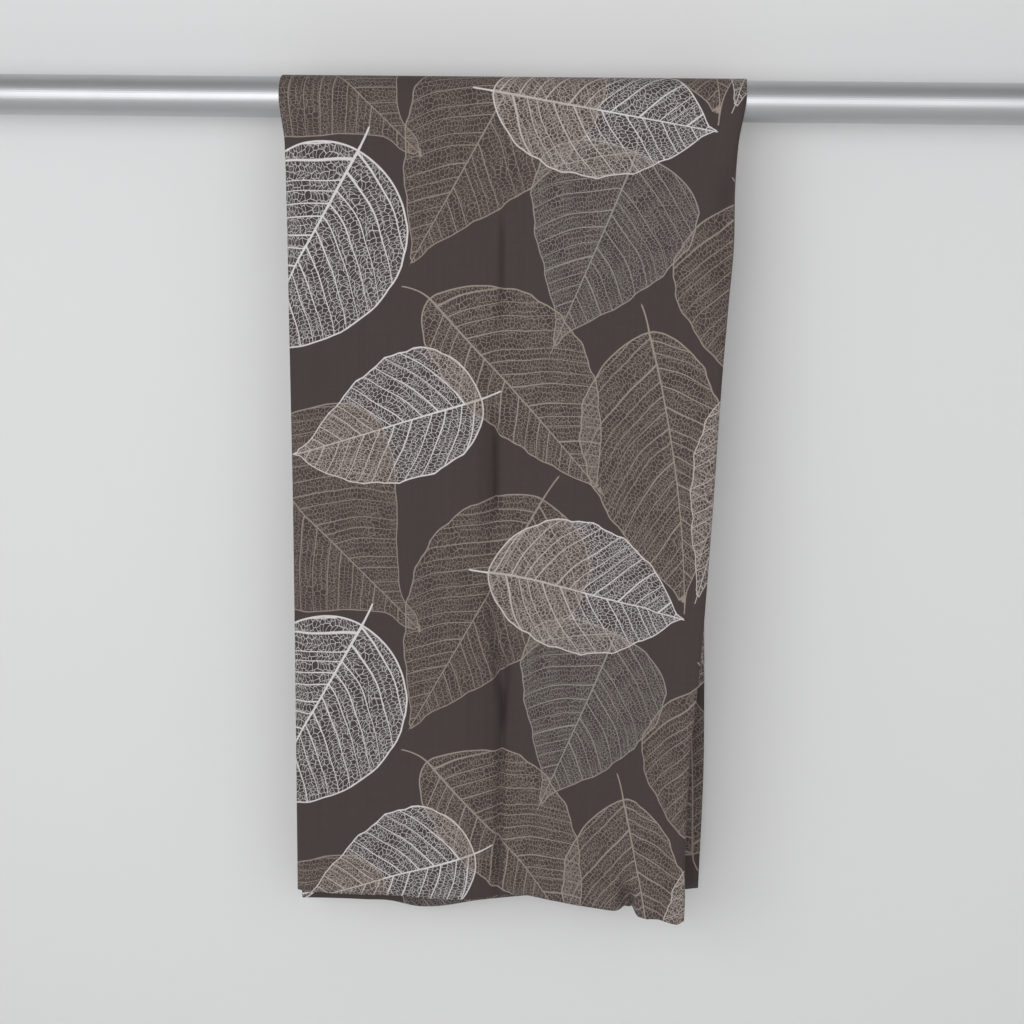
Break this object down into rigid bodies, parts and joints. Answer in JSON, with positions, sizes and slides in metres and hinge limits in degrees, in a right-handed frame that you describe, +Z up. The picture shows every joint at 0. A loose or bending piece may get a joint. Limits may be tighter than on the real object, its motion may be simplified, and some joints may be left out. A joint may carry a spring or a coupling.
{
  "type": "curtain panel folded lengthwise and draped over a curtain rod",
  "caption": "Printed cotton curtain panel, folded in half lengthwise and hung over a plain round rod, with skeleton leaves on a dark brown ground.",
  "frame": {"origin": "the middle of the rod, on its axis", "axes": "+X along the rod towards the cloth's free edges, +Y from the front half to the back half, +Z up"},
  "size_m": [1.5, 0.133, 1.1097],
  "materials": {
    "panel": "plain weave cotton, dark brown printed with taupe, grey and white skeleton leaves",
    "rod": "satin"
  },
  "bodies": {
    "root": {"panel": "panel", "rod": "rod"}
  },
  "joints": []
}
